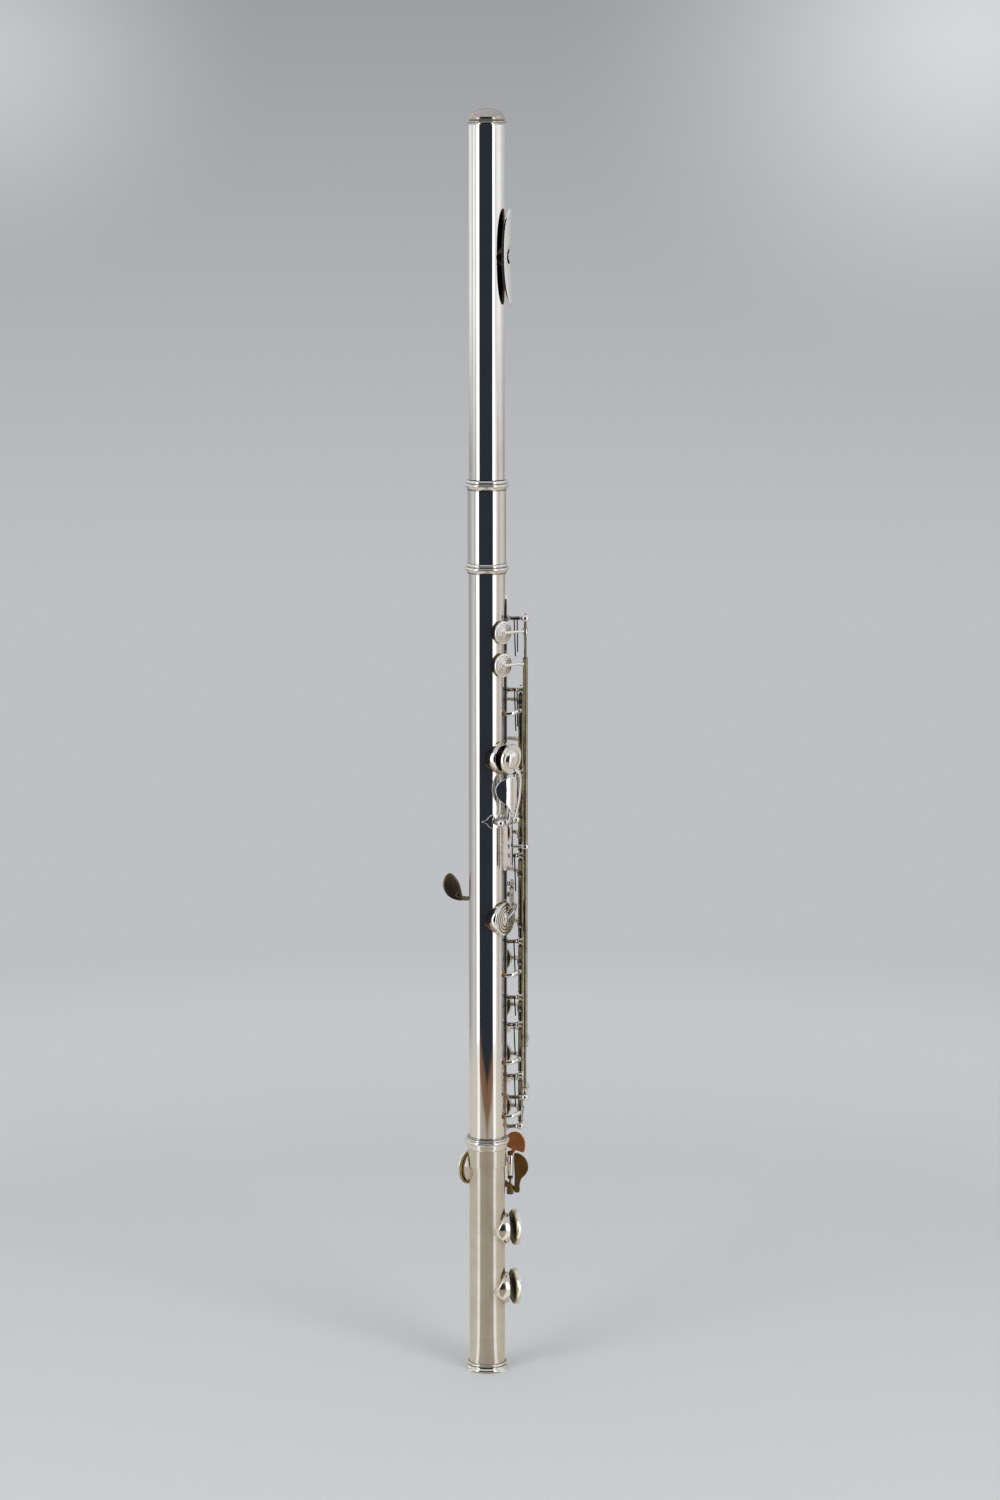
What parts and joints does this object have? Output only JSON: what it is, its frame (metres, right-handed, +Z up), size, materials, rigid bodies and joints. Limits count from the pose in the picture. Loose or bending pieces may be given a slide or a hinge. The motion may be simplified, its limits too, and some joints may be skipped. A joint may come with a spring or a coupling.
{
  "type": "concert flute",
  "caption": "Transverse concert flute with a low C foot, standing on its foot end: head joint with lip plate, body with sprung padded keys on hinge rods, and foot joint.",
  "frame": {"origin": "middle of the bounding box, on the face the foot end stands on", "axes": "+Z up along the bore, towards the crown; -Y is the side the thumb keys and the viewer are on; +X is the side of the hinge rods and the lip plate"},
  "size_m": [0.0474, 0.0362, 0.687],
  "materials": {
    "polished_silver": "polished silver plate",
    "satin_silver": "silver plate gone warm and slightly dull",
    "crown_metal": "lightly tarnished plate",
    "rod_steel": "ground hinge rod steel",
    "pad_skin": "thin golden membrane over felt",
    "cork": "natural cork"
  },
  "bodies": {
    "body_joint": {"body_tube": "polished_silver", "key_rib": "polished_silver", "thumb_saddle": "polished_silver", "main_steel_left": "rod_steel", "main_steel_right": "rod_steel", "g_sharp_steel": "rod_steel", "thumb_steel": "rod_steel", "barrel_sleeve": "polished_silver", "barrel_upper_ring": "polished_silver", "barrel_lower_ring": "polished_silver"},
    "tuning_slide": {"head_tenon": "polished_silver"},
    "head_joint": {"head_tube": "polished_silver", "lip_plate": "polished_silver", "embouchure_riser": "polished_silver"},
    "crown": {"crown": "crown_metal"},
    "stopper": {"stopper_cork": "cork", "stopper_screw": "rod_steel"},
    "foot_joint": {"foot_tube": "satin_silver", "foot_socket_sleeve": "satin_silver", "foot_socket_ring": "polished_silver", "foot_end_ring": "satin_silver", "foot_rib": "polished_silver"},
    "c_sharp_key": {"c_sharp_key": "polished_silver", "c_sharp_pad": "pad_skin"},
    "bb_key": {"bb_key": "polished_silver", "bb_pad": "pad_skin"},
    "a_key": {"a_key": "polished_silver", "a_pad": "pad_skin"},
    "g_key": {"g_key": "polished_silver", "g_upper_pad": "pad_skin", "g_lower_pad": "pad_skin"},
    "thumb_b_key": {"thumb_b_key": "polished_silver", "thumb_pad": "pad_skin"},
    "thumb_bb_lever": {"thumb_bb_lever": "polished_silver"},
    "g_sharp_key": {"g_sharp_key": "polished_silver", "g_sharp_pad": "pad_skin"},
    "trill_1_key": {"trill_1_key": "polished_silver", "trill_1_pad": "pad_skin"},
    "trill_2_key": {"trill_2_key": "polished_silver", "trill_2_pad": "pad_skin"},
    "f_sharp_key": {"f_sharp_key": "polished_silver", "f_sharp_pad": "pad_skin"},
    "f_key": {"f_key": "polished_silver", "f_pad": "pad_skin"},
    "e_key": {"e_key": "polished_silver", "e_pad": "pad_skin"},
    "d_key": {"d_key": "polished_silver", "d_pad": "pad_skin"},
    "d_sharp_key": {"d_sharp_key": "polished_silver", "d_sharp_pad": "pad_skin"},
    "low_c_sharp_key": {"low_c_sharp_key": "polished_silver", "low_c_sharp_pad": "pad_skin"},
    "low_c_key": {"low_c_key": "polished_silver", "low_c_pad": "pad_skin"},
    "c_roller": {"c_roller": "polished_silver"}
  },
  "joints": [
    {"name": "head_draw", "type": "slide", "parent": "body_joint", "child": "tuning_slide", "axis": [0, 0, 1], "range_m": [0, 0.012]},
    {"name": "head_swivel", "type": "hinge", "parent": "tuning_slide", "child": "head_joint", "pos_m": [0.00066, -0.00165, 0.5], "axis": [0, 0, 1], "continuous": true},
    {"name": "crown_turn", "type": "hinge", "parent": "head_joint", "child": "crown", "pos_m": [0.00066, -0.00165, 0.68], "axis": [0, 0, -1], "range_deg": [0, 720]},
    {"name": "stopper_slide", "type": "slide", "parent": "head_joint", "child": "stopper", "axis": [0, 0, 1], "range_m": [0, 0.0015]},
    {"name": "foot_swivel", "type": "hinge", "parent": "body_joint", "child": "foot_joint", "pos_m": [0.00066, -0.00165, 0.12], "axis": [0, 0, 1], "continuous": true},
    {"name": "c_sharp_key_hinge", "type": "hinge", "parent": "body_joint", "child": "c_sharp_key", "pos_m": [0.01883, 0.00123, 0.3556], "axis": [0, 0, 1], "range_deg": [0, 9], "stiffness_Nm_per_rad": 0.02, "springref_deg": -17.19},
    {"name": "bb_key_hinge", "type": "hinge", "parent": "body_joint", "child": "bb_key", "pos_m": [0.01883, 0.00123, 0.3197], "axis": [0, 0, 1], "range_deg": [0, 9], "stiffness_Nm_per_rad": 0.02, "springref_deg": -17.19},
    {"name": "a_key_hinge", "type": "hinge", "parent": "body_joint", "child": "a_key", "pos_m": [0.01883, 0.00123, 0.2992], "axis": [0, 0, 1], "range_deg": [0, 9], "stiffness_Nm_per_rad": 0.02, "springref_deg": -17.19},
    {"name": "g_key_hinge", "type": "hinge", "parent": "body_joint", "child": "g_key", "pos_m": [0.01883, 0.00123, 0.26375], "axis": [0, 0, 1], "range_deg": [0, 9], "stiffness_Nm_per_rad": 0.02, "springref_deg": -17.19},
    {"name": "f_sharp_key_hinge", "type": "hinge", "parent": "body_joint", "child": "f_sharp_key", "pos_m": [0.01883, 0.00123, 0.2245], "axis": [0, 0, 1], "range_deg": [0, 9], "stiffness_Nm_per_rad": 0.02, "springref_deg": -17.19},
    {"name": "f_key_hinge", "type": "hinge", "parent": "body_joint", "child": "f_key", "pos_m": [0.01883, 0.00123, 0.20135], "axis": [0, 0, 1], "range_deg": [0, 9], "stiffness_Nm_per_rad": 0.02, "springref_deg": -17.19},
    {"name": "e_key_hinge", "type": "hinge", "parent": "body_joint", "child": "e_key", "pos_m": [0.01883, 0.00123, 0.1795], "axis": [0, 0, 1], "range_deg": [0, 9], "stiffness_Nm_per_rad": 0.02, "springref_deg": -17.19},
    {"name": "d_key_hinge", "type": "hinge", "parent": "body_joint", "child": "d_key", "pos_m": [0.01883, 0.00123, 0.1509], "axis": [0, 0, 1], "range_deg": [0, 9], "stiffness_Nm_per_rad": 0.02, "springref_deg": -17.19},
    {"name": "thumb_b_hinge", "type": "hinge", "parent": "body_joint", "child": "thumb_b_key", "pos_m": [0.01223, -0.01005, 0.3081], "axis": [-0.5878, -0.809, 0], "range_deg": [0, 6], "stiffness_Nm_per_rad": 0.02, "springref_deg": -17.19},
    {"name": "thumb_bb_hinge", "type": "hinge", "parent": "body_joint", "child": "thumb_bb_lever", "pos_m": [0.01223, -0.01005, 0.3081], "axis": [-0.5878, -0.809, 0], "range_deg": [0, 5], "stiffness_Nm_per_rad": 0.02, "springref_deg": -17.19},
    {"name": "g_sharp_hinge", "type": "hinge", "parent": "body_joint", "child": "g_sharp_key", "pos_m": [0.0141, 0.00378, 0.264], "axis": [0, 0, 1], "range_deg": [0, 9], "stiffness_Nm_per_rad": 0.02, "springref_deg": -17.19},
    {"name": "trill_1_hinge", "type": "hinge", "parent": "body_joint", "child": "trill_1_key", "pos_m": [0.02124, -0.00237, 0.4103], "axis": [0, 0, 1], "range_deg": [0, 8], "stiffness_Nm_per_rad": 0.02, "springref_deg": -17.19},
    {"name": "trill_2_hinge", "type": "hinge", "parent": "body_joint", "child": "trill_2_key", "pos_m": [0.02124, -0.00237, 0.3927], "axis": [0, 0, 1], "range_deg": [0, 8], "stiffness_Nm_per_rad": 0.02, "springref_deg": -17.19},
    {"name": "d_sharp_hinge", "type": "hinge", "parent": "foot_joint", "child": "d_sharp_key", "pos_m": [0.00388, 0.01351, 0.11], "axis": [0, 0, -1], "range_deg": [0, 9], "stiffness_Nm_per_rad": 0.02, "springref_deg": -17.19},
    {"name": "low_c_sharp_hinge", "type": "hinge", "parent": "foot_joint", "child": "low_c_sharp_key", "pos_m": [0.00388, 0.01351, 0.0895], "axis": [0, 0, -1], "range_deg": [0, 8.5], "stiffness_Nm_per_rad": 0.02, "springref_deg": -17.19},
    {"name": "low_c_hinge", "type": "hinge", "parent": "foot_joint", "child": "low_c_key", "pos_m": [0.00388, 0.01351, 0.078], "axis": [0, 0, -1], "range_deg": [0, 8.5], "stiffness_Nm_per_rad": 0.02, "springref_deg": -17.19},
    {"name": "roller_spin", "type": "hinge", "parent": "low_c_key", "child": "c_roller", "pos_m": [0.01326, 0.00635, 0.113], "axis": [0, 0, 1], "continuous": true}
  ],
  "couplings": [
    {"joint": "bb_key_hinge", "follows": "a_key_hinge", "ratio": 1},
    {"joint": "f_sharp_key_hinge", "follows": "f_key_hinge", "ratio": 1},
    {"joint": "low_c_sharp_hinge", "follows": "low_c_hinge", "ratio": 1}
  ]
}
